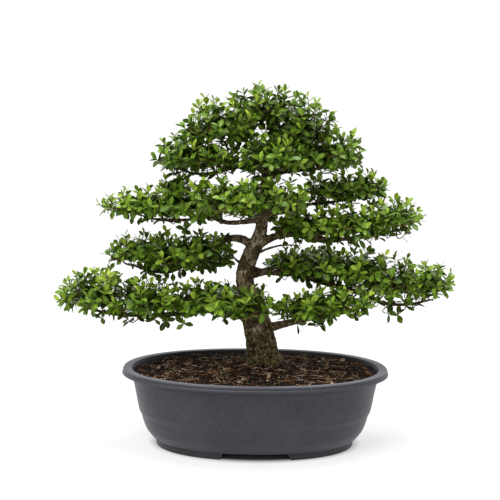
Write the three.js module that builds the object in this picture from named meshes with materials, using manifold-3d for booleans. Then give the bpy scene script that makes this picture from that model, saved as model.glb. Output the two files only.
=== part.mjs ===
// Kinme Japanese holly bonsai: an informal upright tree of eighteen foliage pads in an oval plastic
// training pot. Millimetres, +Z up; +X is the viewer's right and -Y is the front. The origin is on the
// ground under the middle of the pot.
import * as THREE from "three";
import { mergeVertices } from "three/addons/utils/BufferGeometryUtils.js";
import Module from "manifold-3d";

const wasm = await Module();
wasm.setup();

// Driving dimensions of the pot
const LIP_REACH = 201; // half the pot's width over its lip
const POT_HEIGHT = 116;
const OVAL_SHARE = 0.88; // the oval's half depth is this share of its half width,
const OVAL_LESS = 27; // less this
const OVAL_SQUARENESS = 2.15; // exponent of the oval's outline, 2 being an ellipse
const OVAL_FROM = 145; // inside this half width the oval shrinks in proportion instead
const POT_SEGMENTS = 40;
const WALL = 3.5;
const FLOOR_UNDER = 10;
const FLOOR_TOP = 13.5;
const FLOOR_REACH = 152;
const FOOT_OUTER = 150.5;
const FOOT_INNER = 141;
const FOOT_NOTCH = 97; // clear width between the two feet at the front and at the back
const DRAIN_RADIUS = 7;
const DRAIN_PLACES = [[-85, 0], [85, 0], [0, 40], [0, -40]];

// Driving dimensions of the soil
const SEAT_GAP = 0.35; // clear gap where one piece is seated on another
const SOIL_EDGE_TOP = 110;
const SOIL_MOUND_TOP = 124;
const SOIL_MOUND_SPREAD = 75;
const SOIL_RINGS = [158, 112, 62];
const CRUMB_HEIGHT = 2.2;
const CHIP_COUNT = 7;
const CHIP_FIELD = 158; // half width of the oval in which the chips lie

// Driving dimensions of the leaves
const LEAF_LENGTH = 18;
const LEAF_HALF_WIDTH = 4.2; // half its width near its blunt tip, where it is widest
const LEAVES_IN_TUFT = 6;
const SHOOT_RADIUS = 2;
const SHOOT_TOP = 2.6;
const SPIKE_DEPTH = 15;
const TUFT_LIFT = 9; // a tuft's middle stands this far out of the pad's twiggy core
const SIDE_COVER = 20; // the core lies this far inside the pad's outer form at its sides
const TOP_COVER = 22; // and this far inside it at its top
const UNDERSIDE = 0.62; // the core's depth below its middle, as a share of the lobe's half height
const PAD_CLEARANCE = 1.5; // room kept between one pad's core and another pad
const TUFT_AREA = 2230; // square millimetres of a lobe's surface for each tuft
const TOPMOST_TUFT = 0.96; // height of a lobe's first tuft, on a ball of radius 1
const TUFT_DROP = 1.3; // how far below the first tuft the last one lies, on that ball

// The trunk's centre line from its sunk foot to its top: x, y, z, radius.
const TRUNK = [
  [14, 6, 65, 29], [13, 6, 95, 33], [12.5, 6, 115, 30.5], [10.5, 6, 130, 26], [9, 6, 146, 23.8],
  [5.5, 5, 164, 22.6], [0.5, 3, 184, 21.4], [-5.5, 0, 201, 19.5], [-12, -4, 220, 16.3],
  [-17, -6, 242, 13.8], [-17.5, -5, 262, 13], [-11.5, -1, 281, 12.8], [-2.5, 4, 300, 11.6],
  [4.5, 7, 318, 10], [8, 8, 338, 8.8], [10, 7, 369, 8.1], [12.5, 5, 403, 7.2], [17.5, 4, 430, 6],
  [20.5, 5, 455, 4.8], [18.5, 6, 480, 3.6], [14, 4, 495, 2.6],
];
const ROOT_HEADINGS = [0.4, 1.6, 2.9, 4.1, 5.3];
const THICK_BOUGH = 4; // a bough whose radius starts over this has five sides, and others four

// Each pad of foliage: the boughs that carry it, each from inside the trunk or a parent bough to its tip
// with its two end radii, and the rounded lobes that make its outer form as x, y, z, half width,
// half depth, half height.
const PADS = {
  apex: {
    boughs: [
      { ends: [3, 1.4], route: [[18, 4, 433], [-5, 0, 450], [-33, -4, 460], [-53, -4, 466]] },
      { ends: [3, 1.4], route: [[21, 5, 447], [40, 2, 456], [69, 0, 463]] },
    ],
    lobes: [[10, 0, 501, 68, 62, 44], [-55, -4, 478, 65, 58, 46], [64, 0, 478, 58, 56, 46]],
  },
  crown_left: {
    boughs: [{
      ends: [5.2, 1.5],
      route: [[14, 5, 409], [1, 2, 418], [-21, -2, 420], [-48, -6, 414], [-63, -8, 409], [-94, -8, 407],
        [-125, -4, 416]],
    }],
    lobes: [[-75, -8, 434, 50, 56, 38], [-110, -4, 432, 50, 54, 44]],
  },
  crown_right: {
    boughs: [{
      ends: [4.2, 1.4],
      route: [[12, 5, 397], [32, 4, 409], [64, 2, 414], [92, 0, 417], [128, -2, 426]],
    }],
    lobes: [[72, 0, 436, 56, 52, 38], [116, 0, 436, 49, 50, 41]],
  },
  crown_front: {
    boughs: [{ ends: [3.6, 1.4], route: [[13, 5, 409], [12, -16, 406], [12, -40, 406], [11, -66, 410]] }],
    lobes: [[22, -52, 431, 54, 52, 40]],
  },
  crown_back: {
    boughs: [{ ends: [3.6, 1.4], route: [[15, 4, 416], [11, 30, 415], [6, 62, 421], [0, 88, 428]] }],
    lobes: [[20, 76, 441, 52, 54, 36], [50, 70, 442, 54, 50, 34]],
  },
  second_left: {
    boughs: [{
      ends: [4.6, 1.5],
      route: [[8, 8, 340], [-7, 6, 337], [-45, 4, 334], [-76, 2, 343], [-101, 0, 338], [-151, -4, 338],
        [-187, -4, 348]],
    }],
    lobes: [[-102, 2, 361, 66, 60, 38], [-177, -4, 359, 58, 52, 31], [-122, -2, 383, 36, 40, 28]],
  },
  second_front: {
    boughs: [
      {
        ends: [3.8, 1.4],
        route: [[9, 7, 357], [-2, -20, 353], [-14, -48, 353], [-31, -76, 354], [-47, -96, 358]],
      },
      { ends: [2.6, 1.3], route: [[-3, -24, 353], [11, -54, 353], [24, -84, 358]] },
    ],
    lobes: [[-45, -76, 372, 58, 56, 35], [21, -74, 373, 58, 56, 35]],
  },
  second_right_high: {
    boughs: [{
      ends: [4.2, 1.4],
      route: [[9, 8, 350], [34, 12, 357], [68, 20, 361], [119, 28, 367], [177, 30, 378]],
    }],
    lobes: [[111, 34, 385, 48, 48, 26], [156, 30, 389, 50, 44, 30]],
  },
  second_right: {
    boughs: [
      {
        ends: [7, 1.8],
        route: [[-2, 4, 298], [15, 2, 309], [43, -4, 319], [79, -8, 314], [110, -8, 311], [172, -6, 317],
          [218, 0, 328]],
      },
      { ends: [2.6, 1.3], route: [[-4, 0, 286], [13, -8, 295], [36, -13, 302], [60, -15, 303]] },
    ],
    lobes: [[53, -4, 330, 39, 40, 25], [88, -8, 333, 54, 50, 31],
      [143, -8, 335, 56, 56, 31], [201, 0, 346, 54, 52, 33]],
  },
  second_back: {
    boughs: [{ ends: [4, 1.4], route: [[8, 8, 344], [6, 36, 341], [0, 68, 342], [-15, 98, 346]] }],
    lobes: [[-20, 90, 363, 58, 55, 32], [34, 90, 357, 54, 54, 30]],
  },
  third_left: {
    boughs: [{
      ends: [7, 1.8],
      route: [[-4, 3, 294], [-16, 8, 306], [-32, 12, 310], [-49, 14, 308], [-63, 14, 301], [-98, 14, 277],
        [-128, 12, 259], [-157, 10, 258], [-187, 10, 267]],
    }],
    lobes: [[-128, 12, 284, 58, 56, 38], [-181, 10, 289, 52, 50, 33], [-88, 15, 293, 46, 47, 32]],
  },
  third_right: {
    boughs: [{
      ends: [6.6, 1.8],
      route: [[-15, -4, 254], [8, 0, 260], [33, 4, 263], [69, 8, 255], [98, 10, 245], [145, 10, 233],
        [193, 10, 214], [232, 10, 212], [268, 10, 220]],
    }],
    lobes: [[50, 8, 272, 42, 42, 24], [97, 8, 269, 52, 50, 29], [153, 10, 264, 59, 60, 38],
      [206, 8, 245, 60, 60, 44], [259, 6, 245, 46, 50, 37]],
  },
  third_back_right: {
    boughs: [{
      ends: [4.4, 1.5],
      route: [[-15, -2, 268], [15, 30, 257], [53, 66, 249], [92, 94, 252], [123, 104, 259]],
    }],
    lobes: [[68, 98, 264, 52, 54, 31], [114, 98, 264, 50, 54, 31]],
  },
  third_back_left: {
    boughs: [{
      ends: [4.2, 1.5],
      route: [[-32, 12, 310], [-50, 40, 303], [-73, 74, 283], [-95, 98, 260], [-115, 104, 260]],
    }],
    lobes: [[-92, 98, 272, 66, 54, 31]],
  },
  fourth_left: {
    boughs: [{
      ends: [5.6, 1.8],
      route: [[-5, 0, 194], [-32, -6, 197], [-76, -14, 203], [-122, -20, 198], [-158, -20, 196],
        [-200, -20, 196], [-230, -20, 200], [-260, -20, 208]],
    }],
    lobes: [[-85, -18, 219, 54, 56, 36], [-166, -18, 219, 66, 66, 39], [-237, -18, 224, 66, 60, 47]],
  },
  fourth_front: {
    boughs: [{ ends: [4, 1.4], route: [[-4, 1, 194], [-14, -28, 203], [-23, -54, 208], [-32, -80, 211]] }],
    lobes: [[-23, -72, 219, 54, 50, 28]],
  },
  fourth_right: {
    boughs: [{
      ends: [8, 1.8],
      route: [[3, 3, 172], [24, -6, 178], [45, -22, 186], [70, -40, 195], [104, -48, 202], [142, -52, 210]],
    }],
    lobes: [[68, -48, 212, 50, 48, 29], [121, -50, 220, 54, 50, 31]],
  },
  fourth_back: {
    boughs: [{ ends: [4, 1.4], route: [[-3, 2, 188], [-12, 34, 185], [-24, 68, 188], [-37, 98, 192]] }],
    lobes: [[-34, 90, 209, 60, 54, 30]],
  },
};

// Short bare spurs on the trunk, left where shoots were pruned.
const SPURS = [
  { ends: [2.6, 1.3], route: [[-17, -5, 268], [-30, -8, 278], [-40, -7, 288]] },
  { ends: [3.4, 1.8], route: [[-17, -6, 254], [1, -12, 258], [5, -13, 257]] },
];

const FINISHES = {
  pot: { color: "#47484d", roughness: 0.6 },
  soil: { color: "#3b2a1f", roughness: 0.95 },
  wood: { color: "#6b5c4b", roughness: 0.85 },
  leaves: { color: "#3f6b22", roughness: 0.5 },
};

// A repeatable stream of numbers from 0 to 1.
function randomStream(seed) {
  let state = seed >>> 0;
  return () => {
    state = (Math.imul(state, 1664525) + 1013904223) >>> 0;
    return state / 2 ** 32;
  };
}

const between = (random, low, high) => low + (high - low) * random();

// A closed three.js geometry as a solid that can be joined and cut.
function solidOf(geometry) {
  const bare = geometry.clone();
  bare.deleteAttribute("normal");
  bare.deleteAttribute("uv");
  const merged = mergeVertices(bare, 1e-4);
  const corners = merged.index.array;
  const kept = [];
  for (let i = 0; i < corners.length; i += 3) {
    const [a, b, c] = corners.slice(i, i + 3);
    if (a !== b && b !== c && c !== a) kept.push(a, b, c);
  }
  return new wasm.Manifold(new wasm.Mesh({
    numProp: 3,
    vertProperties: merged.attributes.position.array,
    triVerts: new Uint32Array(kept),
  }));
}

const joined = (solids) => solids.reduce((whole, next) => whole.add(next));
const biggestBody = (solid) => solid.decompose().sort((a, b) => b.volume() - a.volume())[0];
const crosses = (a, b) => a.intersect(b).numTri() > 0;

function namedMesh(name, solid, finish) {
  const { vertProperties, triVerts } = solid.getMesh();
  const geometry = new THREE.BufferGeometry()
    .setAttribute("position", new THREE.BufferAttribute(vertProperties, 3))
    .setIndex(new THREE.BufferAttribute(triVerts, 1));
  geometry.computeVertexNormals();
  const mesh = new THREE.Mesh(geometry, new THREE.MeshStandardMaterial({ ...finish, metalness: 0 }));
  mesh.name = name;
  return mesh;
}

// Moves every vertex of a geometry to the place that a function gives for it.
function reshaped(geometry, place) {
  const position = geometry.attributes.position;
  const v = new THREE.Vector3();
  for (let i = 0; i < position.count; i++) {
    v.fromBufferAttribute(position, i);
    const moved = place(v);
    position.setXYZ(i, moved.x, moved.y, moved.z);
  }
  return geometry;
}

// The half depth of the pot's oval where its half width is r.
function ovalDepth(r) {
  const depth = OVAL_SHARE * Math.max(r, OVAL_FROM) - OVAL_LESS;
  return r > OVAL_FROM ? depth : (depth * r) / OVAL_FROM;
}

// A profile of [half width, height] turned about the upright axis and narrowed to the pot's oval.
function ovalTurned(profile) {
  const lathe = new THREE.LatheGeometry(profile.map(([r, z]) => new THREE.Vector2(r, z)), POT_SEGMENTS);
  return reshaped(lathe, (v) => {
    const r = Math.hypot(v.x, v.z);
    if (r === 0) return { x: 0, y: 0, z: v.y };
    const squared = (share) => Math.sign(share) * Math.abs(share) ** (2 / OVAL_SQUARENESS);
    return { x: r * squared(v.x / r), y: -ovalDepth(r) * squared(v.z / r), z: v.y };
  });
}

// The pot's profiles as [half width, height]: the outside from the floor's edge up to the lip, with the
// small step at half height, the rolled lip, and the inside from the rim down.
const POT_OUTSIDE = [
  [FLOOR_REACH, FLOOR_UNDER], [158, 16], [163.5, 23], [169.5, 38], [172.5, 46.5], [176, 54], [181, 80],
  [188, 107],
];
const POT_LIP = [
  [LIP_REACH - 1.5, 109], [LIP_REACH, 110.5], [LIP_REACH - 0.5, POT_HEIGHT - 1], [LIP_REACH - 3, POT_HEIGHT],
  [LIP_REACH - 13, POT_HEIGHT - 0.5],
];
const POT_INSIDE = [[188, 106], [176, 54], [169.5, 38], [158, 19]].map(([r, z]) => [r - WALL, z]);

function makePot() {
  const bowl = solidOf(ovalTurned([
    [0, FLOOR_UNDER], ...POT_OUTSIDE, ...POT_LIP, ...POT_INSIDE, [FLOOR_REACH, FLOOR_TOP], [0, FLOOR_TOP],
  ]));
  const drain = new THREE.CylinderGeometry(DRAIN_RADIUS, DRAIN_RADIUS, 3 * FLOOR_TOP, 8).rotateX(Math.PI / 2);
  const drains = DRAIN_PLACES.map(([x, y]) => solidOf(drain.clone().translate(x, y, 0)));
  return bowl.subtract(joined(drains));
}

// One of the pot's two C-shaped feet, on the side of +X or -X, moulded to the underside of its floor.
function makeFoot(side) {
  const ring = solidOf(ovalTurned([
    [FOOT_INNER, 0], [FOOT_OUTER - 1.5, 0], [FOOT_OUTER, FLOOR_UNDER], [FOOT_INNER, FLOOR_UNDER],
    [FOOT_INNER, 0],
  ]));
  const half = new THREE.BoxGeometry(2 * LIP_REACH, 2 * LIP_REACH, 2 * POT_HEIGHT);
  return ring.intersect(solidOf(half.translate(side * (LIP_REACH + FOOT_NOTCH / 2), 0, 0)));
}

// The soil's height over the ground at x, y: low at the wall and mounded up to the trunk.
function soilHeight(x, y) {
  const [trunkX, trunkY] = TRUNK[2];
  const away = Math.hypot(x - trunkX, y - trunkY) / SOIL_MOUND_SPREAD;
  return SOIL_EDGE_TOP + (SOIL_MOUND_TOP - SOIL_EDGE_TOP) * Math.exp(-away * away);
}

// One bark chip, a small lath lying askew in the soil's surface.
function barkChip(random) {
  const angle = 2 * Math.PI * random();
  const reach = CHIP_FIELD * Math.sqrt(between(random, 0.12, 1));
  const x = reach * Math.cos(angle);
  const y = ovalDepth(reach) * Math.sin(angle);
  const chip = new THREE.BoxGeometry(between(random, 10, 17), between(random, 5, 8), 5);
  chip.rotateX(between(random, -0.4, 0.4)).rotateY(between(random, -0.3, 0.3));
  return solidOf(chip.rotateZ(Math.PI * random()).translate(x, y, soilHeight(x, y) + 0.4));
}

function makeSoil(woodClearance) {
  const random = randomStream(11);
  const under = FLOOR_TOP + SEAT_GAP;
  const side = POT_INSIDE.toReversed().slice(0, -1).map(([r, z]) => [r - SEAT_GAP, z]);
  const edge = [POT_INSIDE[0][0] - 1, SOIL_EDGE_TOP - 2];
  const top = SOIL_RINGS.map((r) => [r, SOIL_EDGE_TOP]);
  const crumbs = new Map();
  const fill = reshaped(
    ovalTurned([[0, under], [FLOOR_REACH - SEAT_GAP, under], ...side, edge, ...top, [0, SOIL_EDGE_TOP]]),
    (v) => {
      if (v.z < SOIL_EDGE_TOP) return v;
      const key = `${Math.round(v.x)},${Math.round(v.y)}`;
      if (!crumbs.has(key)) crumbs.set(key, between(random, -CRUMB_HEIGHT, CRUMB_HEIGHT));
      return { x: v.x, y: v.y, z: soilHeight(v.x, v.y) + crumbs.get(key) };
    },
  );
  const chips = Array.from({ length: CHIP_COUNT }, () => barkChip(random));
  return biggestBody(joined([solidOf(fill), ...chips]).subtract(woodClearance));
}

// A tapering limb along a smooth curve through its route, thicker all round by extra.
function limb(route, radii, sides, steps, extra) {
  const points = route.map(([x, y, z]) => new THREE.Vector3(x, y, z));
  const curve = new THREE.CatmullRomCurve3(points, false, "centripetal");
  const whole = new THREE.Vector3().subVectors(points.at(-1), points[0]);
  const upright = Math.abs(whole.z) > Math.hypot(whole.x, whole.y);
  const reference = upright ? new THREE.Vector3(1, 0, 0) : new THREE.Vector3(0, 0, 1);
  const rod = new THREE.CylinderGeometry(1, 1, 1, sides, steps);
  return solidOf(reshaped(rod, (v) => {
    const t = 0.5 - v.y;
    const station = t * (radii.length - 1);
    const from = Math.min(Math.floor(station), radii.length - 2);
    const radius = THREE.MathUtils.lerp(radii[from], radii[from + 1], station - from) + extra;
    const tangent = curve.getTangent(t);
    const across = new THREE.Vector3().crossVectors(tangent, reference).normalize();
    const over = new THREE.Vector3().crossVectors(across, tangent);
    const pastEnd = t > 0.999 ? extra : t < 0.001 ? -extra : 0;
    return curve.getPoint(t).addScaledVector(tangent, pastEnd)
      .addScaledVector(over, v.x * radius).addScaledVector(across, v.z * radius);
  }));
}

// The wood of the tree: trunk with its root flare, boughs and spurs, thicker all round by extra.
function makeWood(extra = 0) {
  const trunk = limb(TRUNK, TRUNK.map((station) => station[3]), 10, 18, extra);
  const [trunkX, trunkY] = TRUNK[2];
  const roots = ROOT_HEADINGS.map((heading) => {
    const at = (out, z) => [trunkX + out * Math.cos(heading), trunkY + out * Math.sin(heading), z];
    return limb([at(10, 145), at(22, 128), at(38, 112)], [10, 8, 5], 5, 2, extra);
  });
  const boughs = [...Object.values(PADS).flatMap((pad) => pad.boughs), ...SPURS];
  const limbs = boughs.map(({ ends, route }) => (
    limb(route, ends, ends[0] > THICK_BOUGH ? 5 : 4, route.length - 1, extra)
  ));
  return joined([trunk, ...roots, ...limbs]);
}

// The half sizes of a lobe's twiggy core above or below its middle.
function coreSize([, , , halfWidth, halfDepth, halfHeight], above) {
  const height = above ? halfHeight - TOP_COVER : UNDERSIDE * halfHeight;
  return new THREE.Vector3(halfWidth - SIDE_COVER, halfDepth - SIDE_COVER, height);
}

// The lobe's twiggy core under its leaves: a coarse lumpy ball, larger all round by extra.
function lobeCore(lobe, random, extra) {
  const ball = new THREE.OctahedronGeometry(1, 1).rotateZ(2 * Math.PI * random());
  const lumps = new Map();
  return solidOf(reshaped(ball, (v) => {
    const key = v.toArray().map((n) => Math.round(n * 1000)).join();
    if (!lumps.has(key)) lumps.set(key, between(random, 0.9, 1.12));
    const size = coreSize(lobe, v.z > 0).multiplyScalar(lumps.get(key)).addScalar(extra);
    return size.multiply(v).add(new THREE.Vector3(...lobe));
  }));
}

// A tuft of leaves round the tip of a shoot, opening along axis, on a spike sunk into the core. Each leaf is
// a thin blade that widens from two notches of the ring round the shoot to its blunt tip.
function leafTuft(middle, axis, random) {
  const sector = (2 * Math.PI) / LEAVES_IN_TUFT;
  const atAngle = (angle, out, height) => [out * Math.cos(angle), out * Math.sin(angle), height];
  const points = [[0, 0, SHOOT_TOP], [0, 0, -SPIKE_DEPTH]];
  for (let i = 0; i < LEAVES_IN_TUFT; i++) points.push(atAngle(i * sector, SHOOT_RADIUS, 0));
  const faces = [];
  for (let i = 0; i < LEAVES_IN_TUFT; i++) {
    const notch = 2 + i;
    const nextNotch = 2 + ((i + 1) % LEAVES_IN_TUFT);
    const left = points.length;
    const right = left + 1;
    const length = LEAF_LENGTH * between(random, 0.85, 1.12);
    const tilt = i % 2 ? between(random, 0.65, 0.95) : between(random, 0.15, 0.5);
    const heading = (i + 0.5 + between(random, -0.06, 0.06)) * sector;
    const out = length * Math.cos(tilt);
    const halfAngle = Math.atan2(LEAF_HALF_WIDTH, out);
    const tip = (turn) => atAngle(heading + turn * halfAngle, out, length * Math.sin(tilt));
    points.push(tip(-1), tip(1));
    faces.push([0, notch, left], [0, left, right], [0, right, nextNotch]);
    faces.push([notch, right, left], [notch, nextNotch, right], [notch, 1, nextNotch]);
  }
  const tuft = new THREE.BufferGeometry()
    .setAttribute("position", new THREE.Float32BufferAttribute(points.flat(), 3))
    .setIndex(faces.flat());
  tuft.rotateZ(2 * Math.PI * random());
  tuft.applyQuaternion(new THREE.Quaternion().setFromUnitVectors(new THREE.Vector3(0, 0, 1), axis));
  return solidOf(tuft.translate(middle.x, middle.y, middle.z));
}

// Whether a point lies well inside a lobe's leafy form.
function insideLobe(point, lobe) {
  const reach = coreSize(lobe, point.z > lobe[2]).addScalar(TUFT_LIFT - 1);
  return point.clone().sub(new THREE.Vector3(...lobe)).divide(reach).length() < 1;
}

// The tufts of a pad, spaced evenly over the top, the sides and the lower rim of its lobes by the golden
// angle. One that would stand inside another lobe is left out.
function tuftsOn(lobes, random) {
  const goldenAngle = Math.PI * (3 - Math.sqrt(5));
  const tufts = [];
  for (const lobe of lobes) {
    const [, , , halfWidth, halfDepth, halfHeight] = lobe;
    const area = Math.PI * (halfWidth * halfDepth + 0.8 * (halfWidth + halfDepth) * halfHeight);
    const count = Math.round(area / TUFT_AREA);
    const start = 2 * Math.PI * random();
    for (let i = 0; i < count; i++) {
      const up = TOPMOST_TUFT - (TUFT_DROP * (i + 0.5)) / count;
      const angle = start + goldenAngle * i + between(random, -0.2, 0.2);
      const level = Math.sqrt(1 - up * up);
      const towards = new THREE.Vector3(level * Math.cos(angle), level * Math.sin(angle), up);
      const size = coreSize(lobe, up > 0);
      const outward = towards.clone().divide(size).normalize();
      const onCore = towards.multiply(size).add(new THREE.Vector3(...lobe));
      const middle = onCore.addScaledVector(outward, TUFT_LIFT);
      if (lobes.some((other) => other !== lobe && insideLobe(middle, other))) continue;
      const axis = outward.clone().add(new THREE.Vector3(0, 0, 0.35)).normalize();
      tufts.push(leafTuft(middle, axis, random));
    }
  }
  return tufts;
}

// The pads of foliage, fitted round the wood and clear of one another. Their cores come first, so that no
// leaf is placed where another pad's core stands.
function makePads(woodClearance) {
  const plans = Object.entries(PADS).map(([name, { lobes }], i) => {
    const seed = 101 + 17 * i;
    const shape = (extra) => {
      const random = randomStream(seed);
      return joined(lobes.map((lobe) => lobeCore(lobe, random, extra)));
    };
    return { name, lobes, random: randomStream(seed + 1), whole: shape(0), clearance: shape(PAD_CLEARANCE) };
  });
  const made = [];
  plans.forEach((plan, i) => {
    const room = plans.slice(0, i).reduce((left, earlier) => left.subtract(earlier.clearance), plan.whole);
    const core = biggestBody(room.subtract(woodClearance));
    const otherCores = plans.filter((other) => other !== plan).map((other) => other.clearance);
    const blocked = [woodClearance, ...otherCores, ...made.map(({ body }) => body)];
    const placed = [];
    for (const tuft of tuftsOn(plan.lobes, plan.random)) {
      const clear = ![...blocked, ...placed].some((solid) => crosses(tuft, solid));
      if (clear && crosses(tuft, core)) placed.push(tuft);
    }
    made.push({ name: plan.name, body: biggestBody(joined([core, ...placed])) });
  });
  return made;
}

const woodClearance = makeWood(SEAT_GAP);
const bonsai = new THREE.Group();
bonsai.add(namedMesh("pot", makePot(), FINISHES.pot));
bonsai.add(namedMesh("foot_left", makeFoot(-1), FINISHES.pot));
bonsai.add(namedMesh("foot_right", makeFoot(1), FINISHES.pot));
bonsai.add(namedMesh("soil", makeSoil(woodClearance), FINISHES.soil));
bonsai.add(namedMesh("trunk_and_boughs", makeWood(), FINISHES.wood));
makePads(woodClearance).forEach(({ name, body }) => {
  bonsai.add(namedMesh(`foliage_${name}`, body, FINISHES.leaves));
});

export default bonsai;
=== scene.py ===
# A Kinme Japanese holly bonsai: an informal upright tree whose leaves grow in tiered pads, in an oval
# plastic training pot filled with a bark and coir mix. Shapes are drawn in millimetres, +X to the viewer's
# right, -Y to the front and +Z up, and are made metres when a piece is finished.
import math
import random

import bmesh
import bpy
from mathutils import Euler, Matrix, Vector, kdtree, noise
from mathutils.geometry import interpolate_bezier


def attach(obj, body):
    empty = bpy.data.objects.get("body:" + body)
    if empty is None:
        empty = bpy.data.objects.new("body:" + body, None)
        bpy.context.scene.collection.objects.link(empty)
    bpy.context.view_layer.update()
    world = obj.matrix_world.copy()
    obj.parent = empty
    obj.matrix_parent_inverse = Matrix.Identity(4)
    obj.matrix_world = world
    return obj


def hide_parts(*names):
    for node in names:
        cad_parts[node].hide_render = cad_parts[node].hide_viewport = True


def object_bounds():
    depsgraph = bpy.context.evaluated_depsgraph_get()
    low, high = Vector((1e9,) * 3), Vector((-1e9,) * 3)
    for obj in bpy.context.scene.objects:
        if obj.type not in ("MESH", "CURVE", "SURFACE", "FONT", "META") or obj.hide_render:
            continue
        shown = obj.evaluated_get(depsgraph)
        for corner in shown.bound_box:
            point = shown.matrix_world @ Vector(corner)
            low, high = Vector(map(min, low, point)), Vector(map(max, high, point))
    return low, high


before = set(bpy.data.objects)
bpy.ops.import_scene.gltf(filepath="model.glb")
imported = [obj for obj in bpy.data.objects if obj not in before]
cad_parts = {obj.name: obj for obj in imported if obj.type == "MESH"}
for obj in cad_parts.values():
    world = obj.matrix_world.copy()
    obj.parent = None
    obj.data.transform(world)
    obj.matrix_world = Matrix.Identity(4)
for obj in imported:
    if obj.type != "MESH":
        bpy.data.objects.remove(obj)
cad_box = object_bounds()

UP = Vector((0, 0, 1))
GOLDEN_ANGLE = math.pi * (3 - math.sqrt(5))
scene = bpy.context.scene


# Camera and light

CAMERA_AWAY = 1.5  # metres from the middle of the pot
CAMERA_HEIGHT = 0.422
CAMERA_AZIMUTH = math.radians(-1)
CAMERA_PITCH = math.radians(4.9)
CAMERA_ROLL = math.radians(0.77)
CAMERA_SENSOR = 36  # mm
CAMERA_LENS = 72  # mm
CAMERA_SHIFT = -0.014  # sets the tree a little right of the picture's middle
LIGHTS_AIM = (0, 0, 0.25)  # halfway up the tree
STUDIO_STRENGTH = 0.55


def make_camera():
    """The camera, turned and rolled as the photo's was."""
    data = bpy.data.cameras.new("camera")
    data.sensor_width = CAMERA_SENSOR
    data.lens = CAMERA_LENS
    data.shift_x = CAMERA_SHIFT
    camera = bpy.data.objects.new("camera", data)
    sideways, backwards = math.sin(CAMERA_AZIMUTH), -math.cos(CAMERA_AZIMUTH)
    camera.location = (CAMERA_AWAY * sideways, CAMERA_AWAY * backwards, CAMERA_HEIGHT)
    level = Euler((math.pi / 2 - CAMERA_PITCH, 0, CAMERA_AZIMUTH)).to_matrix()
    camera.rotation_euler = (level @ Matrix.Rotation(CAMERA_ROLL, 3, "Z")).to_euler()
    scene.collection.objects.link(camera)
    scene.camera = camera


def make_light(name, place, size, power):
    """A round soft light of so many metres and watts, aimed at the tree."""
    data = bpy.data.lights.new(name, "AREA")
    data.shape = "DISK"
    data.size = size
    data.energy = power
    light = bpy.data.objects.new(name, data)
    light.location = place
    light.rotation_euler = (Vector(place) - Vector(LIGHTS_AIM)).to_track_quat("Z", "Y").to_euler()
    scene.collection.objects.link(light)


make_camera()
make_light("key_light", (-1.1, -1.9, 2.6), 1.8, 62)
make_light("top_light", (0.2, 0.1, 3.0), 2.0, 60)
scene.view_settings.view_transform = "Standard"
scene.world = bpy.data.worlds.new("studio")
scene.world.use_nodes = True
scene.world.node_tree.nodes["Background"].inputs["Color"].default_value = (1, 1, 1, 1)
scene.world.node_tree.nodes["Background"].inputs["Strength"].default_value = STUDIO_STRENGTH


# Materials. A Mix node's inputs 0, 6 and 7 are its factor and its two colours, and its output 2 is the mix.

MM = 0.001
SHADOW_HALF_WIDTH = 0.155  # metres; inside this oval under the pot the paper's glow fades out, a painted shadow
SHADOW_HALF_DEPTH = 0.112


def linear(hex_colour):
    """An sRGB hex colour as the linear colour that a shader socket takes."""
    channels = [int(hex_colour[i:i + 2], 16) / 255 for i in (1, 3, 5)]
    return [c / 12.92 if c <= 0.04045 else ((c + 0.055) / 1.055) ** 2.4 for c in channels] + [1]


def new_material(name, **sockets):
    """A material with its own Principled shader, whose sockets are set by name."""
    material = bpy.data.materials.new(name)
    material.use_nodes = True
    shader = material.node_tree.nodes["Principled BSDF"]
    for socket, value in sockets.items():
        shader.inputs[socket.replace("_", " ")].default_value = value
    return material, shader


def add_node(material, kind, links=None, outputs=None, stops=(), **settings):
    """Adds a node with its settings. links maps its inputs to values, to sRGB hex colours or to other nodes'
    outputs, and outputs maps its outputs to the inputs that they feed. A ramp has stops, each a position and
    an sRGB hex colour."""
    node = material.node_tree.nodes.new("ShaderNode" + kind)
    for name, value in settings.items():
        setattr(node, name, value)
    for socket, value in (links or {}).items():
        if isinstance(value, bpy.types.NodeSocket):
            material.node_tree.links.new(value, node.inputs[socket])
        else:
            node.inputs[socket].default_value = linear(value) if isinstance(value, str) else value
    for name, target in (outputs or {}).items():
        material.node_tree.links.new(node.outputs[name], target)
    if stops:
        elements = node.color_ramp.elements
        while len(elements) < len(stops):
            elements.new(1)
        for element, (position, colour) in zip(elements, stops):
            element.position = position
            element.color = linear(colour)
    return node


def speckle(material, size_mm, detail=3.0, roughness=0.6, stretch=(1, 1, 1)):
    """Noise whose blotches are about size_mm across, in object coordinates, longer along a stretched axis."""
    place = add_node(material, "TexCoord").outputs["Object"]
    mapping = add_node(material, "Mapping", {"Vector": place, "Scale": [1 / s for s in stretch]})
    links = {"Vector": mapping.outputs["Vector"], "Scale": 1000 / size_mm, "Detail": detail,
             "Roughness": roughness}
    return add_node(material, "TexNoise", links).outputs["Fac"]


def floor_material():
    """White paper that glows evenly, which keeps the shadows on it faint, except in an oval under the pot
    where the glow fades out, a painted shadow."""
    material, shader = new_material("white_paper_sweep", Base_Color=linear("#959595"), Roughness=0.9,
                                    Emission_Color=linear("#ffffff"))
    place = add_node(material, "TexCoord").outputs["Object"]
    to_oval_size = (1 / SHADOW_HALF_WIDTH, 1 / SHADOW_HALF_DEPTH, 1)
    oval = add_node(material, "Mapping", {"Vector": place, "Scale": to_oval_size}).outputs["Vector"]
    away = add_node(material, "VectorMath", {0: oval}, operation="LENGTH").outputs["Value"]
    # Painted shadow: the paper's glow is nothing well inside the oval under the pot and full just outside it.
    add_node(material, "MapRange", {"Value": away, "From Min": 0.87, "From Max": 1.05, "To Max": 0.68},
             {"Result": shader.inputs["Emission Strength"]})
    return material


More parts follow.
